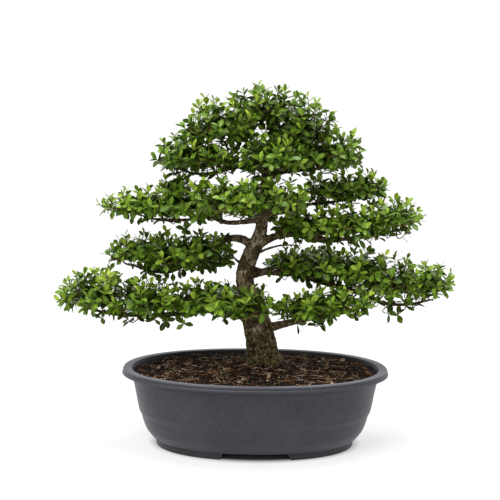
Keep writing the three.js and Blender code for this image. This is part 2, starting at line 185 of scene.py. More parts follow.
def pot_material():
    """Injection-moulded polypropylene, slate grey: matt, with faint clouds of dust, a fine moulded grain and
    a film of dust that gives it a sheen. Faces that look up are paler: settled dust, and a painted highlight
    from the lights above. A vertex attribute paints shade: 1 on the inner wall, painting it nearly black, and
    less under the lip and on the feet."""
    material, shader = new_material("moulded_polypropylene", Roughness=0.5, Specular_IOR_Level=0.36,
                                    Sheen_Weight=0.16, Sheen_Roughness=0.45, Sheen_Tint=linear("#e0e0e8"))
    clouds = add_node(material, "ValToRGB", {"Fac": speckle(material, 60, 4)},
                      stops=[(0.35, "#28292f"), (0.5, "#2c2d34"), (0.68, "#31323a")]).outputs["Color"]
    specks = add_node(material, "ValToRGB", {"Fac": speckle(material, 6, 3)},
                      stops=[(0.4, "#1c1d22"), (0.65, "#585962")]).outputs["Color"]
    plastic = add_node(material, "Mix", {0: 0.1, 6: clouds, 7: specks}, data_type="RGBA").outputs[2]
    # Faces that look up are paler: settled dust, and a painted highlight from the lights above.
    normal = add_node(material, "NewGeometry").outputs["Normal"]
    up = add_node(material, "SeparateXYZ", {0: normal}).outputs["Z"]
    dust_and_highlight = add_node(material, "MapRange", {"Value": up, "From Min": 0.3, "From Max": 0.9,
                                              "To Max": 0.38}).outputs["Result"]
    plastic_with_dust_and_highlight = add_node(material, "Mix", {0: dust_and_highlight, 6: plastic, 7: "#7d7c88"}, data_type="RGBA").outputs[2]
    # Painted shade from a vertex attribute: darkens the inner wall nearly to black, and the body under the
    # lip and the feet less.
    painted_shade = add_node(material, "Attribute", attribute_name="painted_shade").outputs["Fac"]
    add_node(material, "Mix", {0: painted_shade, 6: plastic_with_dust_and_highlight, 7: "#19110c"}, {2: shader.inputs["Base Color"]},
             data_type="RGBA")
    add_node(material, "Bump", {"Height": speckle(material, 1.2, 2), "Distance": 0.05 * MM, "Strength": 1.0},
             {"Normal": shader.inputs["Normal"]})
    return material


def bark_material():
    """Living holly bark: grey-brown and rough with dark cracks and pale patches, and olive with moss low
    down. The youth attribute is 1 on thin boughs, whose bark is smoother, darker and more olive, and the worn
    one is above 0 on pale scars."""
    material, shader = new_material("holly_bark", Roughness=0.85, Specular_IOR_Level=0.2)
    cracks = speckle(material, 4.2, 5, 0.7, (1, 1, 1.15))
    patches = speckle(material, 15, 4, 0.62)
    bark = add_node(material, "ValToRGB", {"Fac": cracks},
                    stops=[(0.37, "#150f07"), (0.46, "#43371f"), (0.56, "#7f7052"),
                           (0.67, "#b5a688")]).outputs["Color"]
    pale = add_node(material, "ValToRGB", {"Fac": patches},
                    stops=[(0.5, "#000000"), (0.6, "#a8a8a8")]).outputs["Color"]
    patchy = add_node(material, "Mix", {0: pale, 6: bark, 7: "#a6967c"}, data_type="RGBA").outputs[2]
    shade = add_node(material, "ValToRGB", {"Fac": patches},
                     stops=[(0.38, "#5a5246"), (0.48, "#ffffff")]).outputs["Color"]
    weathered = add_node(material, "Mix", {0: 1.0, 6: patchy, 7: shade}, data_type="RGBA",
                         blend_type="MULTIPLY").outputs[2]

    place = add_node(material, "TexCoord").outputs["Object"]
    height = add_node(material, "SeparateXYZ", {0: place}).outputs["Z"]
    low = add_node(material, "MapRange", {"Value": height, "From Min": 0.2,
                                          "From Max": 0.165}).outputs["Result"]
    tufts = add_node(material, "ValToRGB", {"Fac": speckle(material, 8, 5, 0.7)},
                     stops=[(0.4, "#606060"), (0.58, "#ffffff")]).outputs["Color"]
    grown_over = add_node(material, "Math", {0: low, 1: tufts}, operation="MULTIPLY").outputs["Value"]
    moss = add_node(material, "ValToRGB", {"Fac": cracks},
                    stops=[(0.38, "#151106"), (0.48, "#40381a"), (0.58, "#756a3c"),
                           (0.68, "#a39a6c")]).outputs["Color"]
    mossy = add_node(material, "Mix", {0: grown_over, 6: weathered, 7: moss}, data_type="RGBA").outputs[2]

    worn = add_node(material, "Attribute", attribute_name="worn").outputs["Fac"]
    scar = add_node(material, "MapRange", {"Value": worn, "From Max": 0.5, "To Max": 0.6}).outputs["Result"]
    pink = add_node(material, "ValToRGB", {"Fac": cracks},
                    stops=[(0.38, "#3c3024"), (0.48, "#8a7a66"), (0.6, "#cfbfac")]).outputs["Color"]
    scarred = add_node(material, "Mix", {0: scar, 6: mossy, 7: pink}, data_type="RGBA").outputs[2]
    youth = add_node(material, "Attribute", attribute_name="youth").outputs["Fac"]
    young = add_node(material, "ValToRGB", {"Fac": cracks},
                     stops=[(0.36, "#1a140a"), (0.5, "#3f351e"), (0.66, "#6d613f")]).outputs["Color"]
    add_node(material, "Mix", {0: youth, 6: scarred, 7: young}, {2: shader.inputs["Base Color"]},
             data_type="RGBA")
    add_node(material, "Bump", {"Height": cracks, "Distance": 1.6 * MM, "Strength": 1.0},
             {"Normal": shader.inputs["Normal"]})
    return material


def twig_material():
    """Olive and yellow-brown bark of young shoots, smoother than the old wood's."""
    material, shader = new_material("young_shoot_bark", Roughness=0.6, Specular_IOR_Level=0.25)
    add_node(material, "ValToRGB", {"Fac": speckle(material, 9, 2)}, {"Color": shader.inputs["Base Color"]},
             stops=[(0.38, "#2b2410"), (0.52, "#554a22"), (0.66, "#898438")])
    return material


def leaf_material():
    """Waxy evergreen leaf: a soft gloss over dark green that is lime at the tips of the shoots, with a paler
    midrib. The tint attribute runs from 0, old and inside, to 1, just unfolded, and the across one from 0 on
    the midrib to 1 on the edge. The tint holds painted light as well as age: it is low on the inner leaves as
    painted shade, and higher on shoots that face up and on the lower pads as painted light."""
    material, shader = new_material("waxy_evergreen_leaf", Roughness=0.3, Specular_IOR_Level=0.32,
                                    Specular_Tint=linear("#dff5c8"))
    tint = add_node(material, "Attribute", attribute_name="tint").outputs["Fac"]
    green = add_node(material, "ValToRGB", {"Fac": tint},
                     stops=[(0.0, "#28400d"), (0.3, "#50701a"), (0.55, "#7a9e2f"), (0.8, "#b0c942"),
                            (1.0, "#d3e357")]).outputs["Color"]
    mottle = add_node(material, "ValToRGB", {"Fac": speckle(material, 4, 2)},
                      stops=[(0.35, "#c8c8c8"), (0.65, "#ffffff")]).outputs["Color"]
    blade = add_node(material, "Mix", {0: 1.0, 6: green, 7: mottle}, data_type="RGBA",
                     blend_type="MULTIPLY").outputs[2]
    across = add_node(material, "Attribute", attribute_name="across").outputs["Fac"]
    rib = add_node(material, "MapRange", {"Value": across, "From Min": 0.2, "From Max": 0.05,
                                          "To Max": 0.4}).outputs["Result"]
    add_node(material, "Mix", {0: rib, 6: blade, 7: "#9fb648"}, {2: shader.inputs["Base Color"]},
             data_type="RGBA")
    return material


def soil_material():
    """Potting mix of composted bark and coir: near black when damp, with tan fibres and orange bark. The
    tint attribute picks each crumb's, chip's or fibre's own colour."""
    material, shader = new_material("bark_and_coir_mix", Roughness=0.92, Specular_IOR_Level=0.2)
    tint = add_node(material, "Attribute", attribute_name="tint").outputs["Fac"]
    crumb = add_node(material, "ValToRGB", {"Fac": tint},
                     stops=[(0.0, "#150c05"), (0.25, "#2d1d0f"), (0.45, "#4d331a"), (0.62, "#7e5230"),
                            (0.8, "#c49c76"), (1.0, "#f0dcc0")]).outputs["Color"]
    flecks = add_node(material, "ValToRGB", {"Fac": speckle(material, 2.5, 4, 0.7)},
                      stops=[(0.35, "#5c5c5c"), (0.65, "#ffffff")]).outputs["Color"]
    add_node(material, "Mix", {0: 1.0, 6: crumb, 7: flecks}, {2: shader.inputs["Base Color"]},
             data_type="RGBA", blend_type="MULTIPLY")
    add_node(material, "Bump", {"Height": speckle(material, 1.5, 3), "Distance": 0.6 * MM, "Strength": 1.0},
             {"Normal": shader.inputs["Normal"]})
    return material


# Making and finishing a piece

def finished(name, mesh, material, nodes):
    """Puts a mesh drawn in millimetres into the scene as a piece that replaces CAD nodes."""
    mesh.transform(Matrix.Scale(MM, 4))
    mesh.name = name
    mesh.materials.clear()
    mesh.materials.append(material)
    piece = bpy.data.objects.new(name, mesh)
    scene.collection.objects.link(piece)
    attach(piece, "root")
    if nodes:
        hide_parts(*nodes)
    return piece


def mesh_of(shape, smooth=True):
    """A bmesh as a mesh, shaded smooth unless told otherwise."""
    for face in shape.faces:
        face.smooth = smooth
    mesh = bpy.data.meshes.new("shape")
    shape.to_mesh(mesh)
    shape.free()
    return mesh


def with_modifiers(mesh, *modifiers):
    """The mesh that is left when modifiers, given as (type, settings), are applied to a mesh."""
    holder = bpy.data.objects.new("holder", mesh)
    scene.collection.objects.link(holder)
    for kind, settings in modifiers:
        modifier = holder.modifiers.new(kind.lower(), kind)
        for name, value in settings.items():
            setattr(modifier, name, value)
    result = bpy.data.meshes.new_from_object(holder.evaluated_get(bpy.context.evaluated_depsgraph_get()))
    bpy.data.objects.remove(holder)
    return result


def smooth_route(points, steps):
    """Points on a smooth curve through the given ones, with so many steps to each span."""
    points = [Vector(p) for p in points]
    last = len(points) - 1
    headings = [(points[min(i + 1, last)] - points[max(i - 1, 0)]).normalized() for i in range(last + 1)]
    route = []
    for i in range(last):
        reach = (points[i + 1] - points[i]).length / 3
        handles = points[i] + headings[i] * reach, points[i + 1] - headings[i + 1] * reach
        route += interpolate_bezier(points[i], *handles, points[i + 1], steps + 1)[:-1]
    return [*route, points[last]]


def tapering(route, radii):
    """Pairs of (point, radius), with the radii spread evenly along the route."""
    pairs = []
    for i, point in enumerate(route):
        station = i / (len(route) - 1) * (len(radii) - 1)
        before = min(int(station), len(radii) - 2)
        share = station - before
        pairs.append((point, radii[before] * (1 - share) + radii[before + 1] * share))
    return pairs


def tubes(runs, roundness):
    """One closed tube along each run of (point, radius) pairs, in one mesh with 4 + 2 * roundness sides."""
    curve = bpy.data.curves.new("tubes", "CURVE")
    curve.dimensions = "3D"
    curve.fill_mode = "FULL"
    curve.bevel_depth = 1
    curve.bevel_resolution = roundness
    curve.use_fill_caps = True
    for run in runs:
        spline = curve.splines.new("POLY")
        spline.points.add(len(run) - 1)
        for point, (place, radius) in zip(spline.points, run):
            point.co = (*place, 1)
            point.radius = radius
    holder = bpy.data.objects.new("tubes", curve)
    mesh = bpy.data.meshes.new_from_object(holder)
    bpy.data.objects.remove(holder)
    bpy.data.curves.remove(curve)
    return mesh


# The tree's routes and forms, as in the part's source

# The trunk's centre line from its sunk foot to its top: x, y, z, radius.
TRUNK = [
    (14, 6, 65, 29), (13, 6, 95, 33), (12.5, 6, 115, 30.5), (10.5, 6, 130, 26), (9, 6, 146, 23.8),
    (5.5, 5, 164, 22.6), (0.5, 3, 184, 21.4), (-5.5, 0, 201, 19.5), (-12, -4, 220, 16.3),
    (-17, -6, 242, 13.8), (-17.5, -5, 262, 13), (-11.5, -1, 281, 12.8), (-2.5, 4, 300, 11.6),
    (4.5, 7, 318, 10), (8, 8, 338, 8.8), (10, 7, 369, 8.1), (12.5, 5, 403, 7.2), (17.5, 4, 430, 6),
    (20.5, 5, 455, 4.8), (18.5, 6, 480, 3.6), (14, 4, 495, 2.6),
]
ROOT_HEADINGS = [0.4, 1.6, 2.9, 4.1, 5.3]

# Each pad: its boughs as (first radius, last radius, route), and the rounded lobes of its leafy form as
# x, y, z, half width, half depth, half height.
PADS = {
    "apex": {
        "boughs": [
            (3, 1.4, [(18, 4, 433), (-5, 0, 450), (-33, -4, 460), (-53, -4, 466)]),
            (3, 1.4, [(21, 5, 447), (40, 2, 456), (69, 0, 463)]),
        ],
        "lobes": [(10, 0, 501, 68, 62, 44), (-55, -4, 478, 65, 58, 46), (64, 0, 478, 58, 56, 46)],
    },
    "crown_left": {
        "boughs": [(5.2, 1.5, [(14, 5, 409), (1, 2, 418), (-21, -2, 420), (-48, -6, 414), (-63, -8, 409),
                               (-94, -8, 407), (-125, -4, 416)])],
        "lobes": [(-75, -8, 434, 50, 56, 38), (-110, -4, 432, 50, 54, 44)],
    },
    "crown_right": {
        "boughs": [(4.2, 1.4, [(12, 5, 397), (32, 4, 409), (64, 2, 414), (92, 0, 417), (128, -2, 426)])],
        "lobes": [(72, 0, 436, 56, 52, 38), (116, 0, 436, 49, 50, 41)],
    },
    "crown_front": {
        "boughs": [(3.6, 1.4, [(13, 5, 409), (12, -16, 406), (12, -40, 406), (11, -66, 410)])],
        "lobes": [(22, -52, 431, 54, 52, 40)],
    },
    "crown_back": {
        "boughs": [(3.6, 1.4, [(15, 4, 416), (11, 30, 415), (6, 62, 421), (0, 88, 428)])],
        "lobes": [(20, 76, 441, 52, 54, 36), (50, 70, 442, 54, 50, 34)],
    },
    "second_left": {
        "boughs": [(4.6, 1.5, [(8, 8, 340), (-7, 6, 337), (-45, 4, 334), (-76, 2, 343), (-101, 0, 338),
                               (-151, -4, 338), (-187, -4, 348)])],
        "lobes": [(-102, 2, 361, 66, 60, 38), (-177, -4, 359, 58, 52, 31), (-122, -2, 383, 36, 40, 28)],
    },
    "second_front": {
        "boughs": [
            (3.8, 1.4, [(9, 7, 357), (-2, -20, 353), (-14, -48, 353), (-31, -76, 354), (-47, -96, 358)]),
            (2.6, 1.3, [(-3, -24, 353), (11, -54, 353), (24, -84, 358)]),
        ],
        "lobes": [(-45, -76, 372, 58, 56, 35), (21, -74, 373, 58, 56, 35)],
    },
    "second_right_high": {
        "boughs": [(4.2, 1.4, [(9, 8, 350), (34, 12, 357), (68, 20, 361), (119, 28, 367),
                               (177, 30, 378)])],
        "lobes": [(111, 34, 385, 48, 48, 26), (156, 30, 389, 50, 44, 30)],
    },
    "second_right": {
        "boughs": [
            (7, 1.8, [(-2, 4, 298), (15, 2, 309), (43, -4, 319), (79, -8, 314), (110, -8, 311),
                      (172, -6, 317), (218, 0, 328)]),
            (2.6, 1.3, [(-4, 0, 286), (13, -8, 295), (36, -13, 302), (60, -15, 303)]),
        ],
        "lobes": [(53, -4, 330, 39, 40, 25), (88, -8, 333, 54, 50, 31), (143, -8, 335, 56, 56, 31),
                  (201, 0, 346, 54, 52, 33)],
    },
    "second_back": {
        "boughs": [(4, 1.4, [(8, 8, 344), (6, 36, 341), (0, 68, 342), (-15, 98, 346)])],
        "lobes": [(-20, 90, 363, 58, 55, 32), (34, 90, 357, 54, 54, 30)],
    },
    "third_left": {
        "boughs": [(7, 1.8, [(-4, 3, 294), (-16, 8, 306), (-32, 12, 310), (-49, 14, 308), (-63, 14, 301),
                             (-98, 14, 277), (-128, 12, 259), (-157, 10, 258), (-187, 10, 267)])],
        "lobes": [(-128, 12, 284, 58, 56, 38), (-181, 10, 289, 52, 50, 33), (-88, 15, 293, 46, 47, 32)],
    },
    "third_right": {
        "boughs": [(6.6, 1.8, [(-15, -4, 254), (8, 0, 260), (33, 4, 263), (69, 8, 255), (98, 10, 245),
                               (145, 10, 233), (193, 10, 214), (232, 10, 212), (268, 10, 220)])],
        "lobes": [(50, 8, 272, 42, 42, 24), (97, 8, 269, 52, 50, 29), (153, 10, 264, 59, 60, 38),
                  (206, 8, 245, 60, 60, 44), (259, 6, 245, 46, 50, 37)],
    },
    "third_back_right": {
        "boughs": [(4.4, 1.5, [(-15, -2, 268), (15, 30, 257), (53, 66, 249), (92, 94, 252),
                               (123, 104, 259)])],
        "lobes": [(68, 98, 264, 52, 54, 31), (114, 98, 264, 50, 54, 31)],
    },
    "third_back_left": {
        "boughs": [(4.2, 1.5, [(-32, 12, 310), (-50, 40, 303), (-73, 74, 283), (-95, 98, 260),
                               (-115, 104, 260)])],
        "lobes": [(-92, 98, 272, 66, 54, 31)],
    },
    "fourth_left": {
        "boughs": [(5.6, 1.8, [(-5, 0, 194), (-32, -6, 197), (-76, -14, 203), (-122, -20, 198),
                               (-158, -20, 196), (-200, -20, 196), (-230, -20, 200), (-260, -20, 208)])],
        "lobes": [(-85, -18, 219, 54, 56, 36), (-166, -18, 219, 66, 66, 39),
                  (-237, -18, 224, 66, 60, 47)],
    },
    "fourth_front": {
        "boughs": [(4, 1.4, [(-4, 1, 194), (-14, -28, 203), (-23, -54, 208), (-32, -80, 211)])],
        "lobes": [(-23, -72, 219, 54, 50, 28)],
    },
    "fourth_right": {
        "boughs": [(8, 1.8, [(3, 3, 172), (24, -6, 178), (45, -22, 186), (70, -40, 195), (104, -48, 202),
                             (142, -52, 210)])],
        "lobes": [(68, -48, 212, 50, 48, 29), (121, -50, 220, 54, 50, 31)],
    },
    "fourth_back": {
        "boughs": [(4, 1.4, [(-3, 2, 188), (-12, 34, 185), (-24, 68, 188), (-37, 98, 192)])],
        "lobes": [(-34, 90, 209, 60, 54, 30)],
    },
}

# Short bare spurs on the trunk, left where shoots were pruned.
SPURS = [
    (2.6, 1.3, [(-17, -5, 268), (-30, -8, 278), (-40, -7, 288)]),
    (3.4, 1.8, [(-17, -6, 254), (1, -12, 258), (5, -13, 257)]),
]


# The wood

ROUTE_STEPS = 5
ROOT_STATIONS = [(10, 145), (22, 128), (38, 112)]  # a root's reach from the trunk's middle, and its height
ROOT_RADII = [10, 8, 5]
WOOD_VOXEL = 1.45
WOOD_SMOOTHING = 0.6
BARK_RELIEF = 0.08  # depth of the coarse relief, as a share of the bough's radius
COARSE_GRAIN = 7.0
LUMP_SIZE = 24.0
FINE_RELIEF = 0.9
FINE_GRAIN = 2.6
GRAIN_STRETCH = 0.7  # the grain runs upwards, as noise that is squeezed by this along Z
RIDGE_RELIEF = 1.2
RIDGE_WIDTH = 6.0
RIDGE_STRETCH = 0.1
RIDGES_FROM = 12  # ridges begin on wood of this radius, and are full on wood 10 mm thicker
YOUNG_BELOW = 8  # the bark is wholly young on wood 5 mm thinner than this radius

# Pale, worn or healed places on the trunk's bark: x, y, z, radius.
SCARS = [(-2, -8, 310, 17), (-18, -18, 271, 16), (0, -20, 177, 13)]


def wood_runs():
    """The trunk, its root flare, the boughs and the spurs as runs of (point, radius)."""
    trunk = tapering(smooth_route([s[:3] for s in TRUNK], ROUTE_STEPS), [s[3] for s in TRUNK])
    runs = [trunk]
    foot = Vector(TRUNK[2][:3])
    for heading in ROOT_HEADINGS:
        out = Vector((math.cos(heading), math.sin(heading), 0))
        stations = [foot + out * reach + UP * (z - foot.z) for reach, z in ROOT_STATIONS]
        runs.append(tapering(smooth_route(stations, ROUTE_STEPS), ROOT_RADII))
    for first, last, route in [*(b for pad in PADS.values() for b in pad["boughs"]), *SPURS]:
        runs.append(tapering(smooth_route(route, ROUTE_STEPS), [first, last]))
    return runs


def make_wood(material):
    """One grown skin over trunk, roots and boughs, with ridges and cracks in its bark."""
    runs = wood_runs()
    stations = [pair for run in runs for pair in run]
    tree = kdtree.KDTree(len(stations))
    for i, (place, _) in enumerate(stations):
        tree.insert(place, i)
    tree.balance()
    skin = with_modifiers(tubes(runs, 6), ("REMESH", {"mode": "VOXEL", "voxel_size": WOOD_VOXEL}))
    shape = bmesh.new()
    shape.from_mesh(skin)
    bmesh.ops.smooth_vert(shape, verts=shape.verts, factor=WOOD_SMOOTHING, use_axis_x=True,
                          use_axis_y=True, use_axis_z=True)
    youth = shape.verts.layers.float.new("youth")
    worn = shape.verts.layers.float.new("worn")
    shape.normal_update()
    for vert in shape.verts:
        _, nearest, _ = tree.find(vert.co)
        radius = stations[nearest][1]
        x, y, z = vert.co
        coarse = noise.noise(Vector((x, y, z * GRAIN_STRETCH)) / COARSE_GRAIN)
        fine = noise.noise(Vector((x, y, z * GRAIN_STRETCH)) / FINE_GRAIN)
        lump = noise.noise(vert.co / LUMP_SIZE)
        ridge = noise.noise(Vector((x, y, z * RIDGE_STRETCH)) / RIDGE_WIDTH)
        relief = BARK_RELIEF * radius * (1.1 * coarse + 1.1 * lump) + FINE_RELIEF * min(1, radius / 6) * fine
        relief += RIDGE_RELIEF * (ridge * max(0, min(1, (radius - RIDGES_FROM) / 10)))
        vert.co += vert.normal * relief
        vert[youth] = min(1, max(0, (YOUNG_BELOW - radius) / 5))
        vert[worn] = max(max(0, 1 - (vert.co - Vector(scar[:3])).length / scar[3]) for scar in SCARS)
    finished("trunk_bark", mesh_of(shape), material, ["trunk_and_boughs"])


# The leaves and their shoots

LEAF_LENGTH = 15.6
LEAF_HALF_WIDTH = 4.4
LEAF_THICKNESS = 0.5
LEAF_FORMS = [(0.2, 0.06), (0.34, 0.12), (0.1, 0.18), (0.26, -0.04)]  # fold along the midrib, and droop
WIDEST_BEYOND_MIDDLE = 1.35  # over 1, the leaf is widest towards its tip
OUTLINE_FULLNESS = 0.75  # under 1, its outline is fuller than a sine curve

# A shoot's leaves, from the youngest to the oldest: their angle from its axis in degrees, their size as a
# share of LEAF_LENGTH, and how far the oldest one's tint is below the youngest one's.
YOUNGEST_ANGLE, ANGLE_WITH_AGE = 26, 58
YOUNGEST_SIZE, SIZE_WITH_AGE = 0.7, 0.34
TINT_LOST_WITH_AGE = 0.28

# The layers of shoots over a pad's lobes: the area for each shoot, how far inside the lobes they stand and
# how deep, as shares of what is left, their lowest height on a ball of radius 1, and each shoot's number of
# leaves, their spacing along it, and its youth.
OUTER_SHOOTS = {"area": 640, "inset": 9, "depth": (0.88, 1.08), "lowest": -0.72,
                "leaves": 7, "spacing": 2.2, "youth": (0.42, 0.78)}
# The inner shoots' low youth gives older leaves, and is also painted shade for the inside of the pad.
INNER_SHOOTS = {"area": 840, "inset": 22, "depth": (0.45, 0.85), "lowest": -0.8,
                "leaves": 6, "spacing": 2.6, "youth": (0.15, 0.42)}
STRAY_SHOOTS = {"area": 9000, "inset": 4, "depth": (1.0, 1.16), "lowest": -0.3,
                "leaves": 7, "spacing": 3.6, "youth": (0.6, 0.92)}

# The short shoots along a bough.
BOUGH_SHOOT_SPACING = 8
BOUGH_SHOOT_REACH = (12, 26)
BOUGH_SHOOTS_UP = 0.95  # the share of them that don't hang
BOUGH_SHOOT_LEAVES = (4, 5, 6)
BOUGH_LEAF_SPACING = 2.8
BOUGH_SHOOT_YOUTH = (0.3, 0.6)
LONGEST_STEP = 30  # two points of a bough further apart than this are on different boughs

UNDERSIDE = 0.68  # a lobe's depth below its middle, as a share of its half height
LOBE_MARGIN = 8  # a shoot this much inside another lobe's shoots is left out
BOX_MARGIN = 8
BOUGH_MARGIN = 16  # a bough bears shoots from this far outside a lobe
SHOOT_LENGTH = 17
TWIG_RADII = (1.2, 0.55)
BRANCHLETS_TO_A_LOBE = 9
BRANCHLET_RADII = (2.2, 0.9)
FIRST_PAD_SEED = 61
CROWN_FROM = 400  # painted light: above this height the leaves are a little darker, and below it paler to make up for the shade of the pads above
CROWN_LEAF_LIGHT = 0.85
LOWER_LEAF_LIGHT = 0.93


def leaf_blade(fold, droop):
    """A small obovate leaf growing along +Y with its upper face up: a closed blade creased along its midrib,
    whose tip bends down. across is 0 on the midrib and 1 on the edge."""
    shape = bmesh.new()
    bmesh.ops.create_uvsphere(shape, u_segments=4, v_segments=5, radius=1)
    across = shape.verts.layers.float.new("across")
    shape.verts.layers.float.new("tint")
    edge_verts = set()
    for vert in shape.verts:
        along = (vert.co.z + 1) / 2
        swell = math.sin(math.pi * along ** WIDEST_BEYOND_MIDDLE) if 0 < along < 1 else 0
        width = LEAF_HALF_WIDTH * swell ** OUTLINE_FULLNESS
        pole = math.hypot(vert.co.x, vert.co.y) < 0.01
        on_edge = abs(vert.co.x) > abs(vert.co.y) or pole
        side = math.copysign(1, vert.co.x) if on_edge and not pole else 0
        if on_edge:
            edge_verts.add(vert)
        face = 0 if on_edge else math.copysign(LEAF_THICKNESS / 2, -vert.co.y)
        vert[across] = abs(side)
        vert.co = (side * width, LEAF_LENGTH * along,
                   face + fold * abs(side) * width - droop * LEAF_LENGTH * along ** 2)
    for edge in shape.edges:
        edge.smooth = not all(vert in edge_verts for vert in edge.verts)
    bmesh.ops.recalc_face_normals(shape, faces=shape.faces)
    return mesh_of(shape)


def lobe_reach(lobe, above, inset):
    """A lobe's half sizes above or below its middle, less an inset."""
    _, _, _, half_width, half_depth, half_height = lobe
    height = half_height if above else UNDERSIDE * half_height
    return Vector((half_width - inset, half_depth - inset, max(height - 0.8 * inset, 0.3 * height)))


def inside(point, lobe, inset):
    """Whether a point lies inside a lobe's form."""
    offset = point - Vector(lobe[:3])
    reach = lobe_reach(lobe, offset.z > 0, inset)
    return sum((offset[i] / reach[i]) ** 2 for i in range(3)) < 1


def shoot_tips(lobes, rng, layer):
    """One layer's shoot tips as (point, outward direction), spread by the golden angle over the lobes."""
    tips = []
    for lobe in lobes:
        _, _, _, half_width, half_depth, half_height = lobe
        area = math.pi * (half_width * half_depth + 0.8 * (half_width + half_depth) * half_height)
        count = round(area / layer["area"])
        start = rng.uniform(0, math.tau)
        for i in range(count):
            up = 1 - (1 - layer["lowest"]) * (i + rng.uniform(0.2, 0.8)) / count
            turn = start + GOLDEN_ANGLE * i + rng.uniform(-0.25, 0.25)
            level = math.sqrt(max(0, 1 - up * up))
            towards = Vector((level * math.cos(turn), level * math.sin(turn), up))
            reach = lobe_reach(lobe, up > 0, layer["inset"])
            outward = Vector(towards[k] / reach[k] for k in range(3)).normalized()
            depth = rng.uniform(*layer["depth"])
            point = Vector(lobe[:3]) + Vector(towards[k] * reach[k] for k in range(3)) * depth
            margin = layer["inset"] + LOBE_MARGIN
            if not any(other is not lobe and inside(point, other, margin) for other in lobes):
                tips.append((point, outward))
    return tips


def in_the_part(point):
    """Whether a shoot's tip is far enough inside the part's own box for its leaves to stay in it."""
    return all(low * 1000 + BOX_MARGIN < c < high * 1000 - BOX_MARGIN
               for low, c, high in zip(cad_box[0], point, cad_box[1]))


def layer_of_shoots(lobes, rng, layer):
    """One layer's shoots as (tip, outward direction, number of leaves, their spacing, youth)."""
    shoots = []
    for point, outward in shoot_tips(lobes, rng, layer):
        if layer is not STRAY_SHOOTS or in_the_part(point):
            shoots.append((point, outward, layer["leaves"], layer["spacing"], rng.uniform(*layer["youth"])))
    return shoots


def add_rosette(leaves, blades, rng, tip, axis, count, spacing, youth):
    """The leaves of one shoot, in a spiral down from its tip: the youngest half open and the palest green."""
    side = axis.orthogonal().normalized()
    turn = rng.uniform(0, math.tau)
    for i in range(count):
        age = i / (count - 1)
        opening = math.radians(YOUNGEST_ANGLE + ANGLE_WITH_AGE * age ** 0.7 + rng.gauss(0, 10))
        around = Matrix.Rotation(turn + i * GOLDEN_ANGLE, 3, axis) @ side
        heading = axis * math.cos(opening) + around * math.sin(opening) + UP * (0.1 - 0.2 * age)
        heading.normalize()
        facing = axis + UP * 0.5
        upper = (facing - heading * facing.dot(heading)).normalized()
        upper = Matrix.Rotation(rng.gauss(0, 0.3), 3, heading) @ upper
        size = (YOUNGEST_SIZE + SIZE_WITH_AGE * min(1, age * 2)) * rng.uniform(0.84, 1.1)
        place = tip - axis * (spacing * i)
        turned = Matrix((heading.cross(upper), heading, upper)).transposed() * size
        blade = rng.choice(blades).copy()
        blade.transform(Matrix.Translation(place) @ turned.to_4x4())
        tint = youth - TINT_LOST_WITH_AGE * age + rng.gauss(0, 0.06)
        tints = [min(1, max(0, tint))] * len(blade.vertices)
        blade.attributes["tint"].data.foreach_set("value", tints)
        leaves.from_mesh(blade)
        bpy.data.meshes.remove(blade)


def leafy_boughs(pad):
    """The points, with radii, of those stretches of a pad's boughs that lie in or just under its lobes."""
    stretches = []
    for first, last, route in pad["boughs"]:
        for point, radius in tapering(smooth_route(route, ROUTE_STEPS), [first, last]):
            if any(inside(point, lobe, -BOUGH_MARGIN) for lobe in pad["lobes"]):
                stretches.append((point, radius))
    return stretches


def branchlets(lobes, grown, rng):
    """Side branches that fan out from the boughs under each lobe, as runs. Their points join the grown
    ones."""
    runs = []
    for lobe in lobes:
        start = rng.uniform(0, math.tau)
        for i in range(BRANCHLETS_TO_A_LOBE):
            turn = start + math.tau * i / BRANCHLETS_TO_A_LOBE + rng.uniform(-0.3, 0.3)
            share = rng.uniform(0.5, 0.8)
            target = Vector((lobe[0] + lobe[3] * share * math.cos(turn),
                             lobe[1] + lobe[4] * share * math.sin(turn),
                             lobe[2] + lobe[5] * rng.uniform(-0.4, 0.1)))
            origin, radius = min(grown, key=lambda pair: (pair[0] - target).length)
            middle = origin.lerp(target, 0.5)
            middle += Vector((rng.gauss(0, 4), rng.gauss(0, 4), rng.uniform(-5, 3)))
            thick, thin = BRANCHLET_RADII
            run = tapering(smooth_route([origin, middle, target], 4), [min(thick, radius), thin])
            runs.append(run)
            grown += run[2:]
    return runs


def bough_shoots(stretches, rng):
    """Short shoots that stand along the boughs, most of them sideways and upwards and a few hanging."""
    shoots = []
    walked = 0
    for (a, _), (b, _) in zip(stretches, stretches[1:]):
        step = (b - a).length
        if step > LONGEST_STEP:
            continue
        walked += step
        while walked > BOUGH_SHOOT_SPACING:
            walked -= BOUGH_SHOOT_SPACING
            along = (b - a).normalized()
            sideways = along.cross(UP).normalized() * rng.choice((-1, 1))
            rise = rng.uniform(-0.1, 1.2) if rng.random() < BOUGH_SHOOTS_UP else rng.uniform(-0.9, -0.4)
            outward = (sideways + UP * rise + along * rng.uniform(-0.2, 0.7)).normalized()
            shoots.append((b + outward * rng.uniform(*BOUGH_SHOOT_REACH), outward))
    return shoots


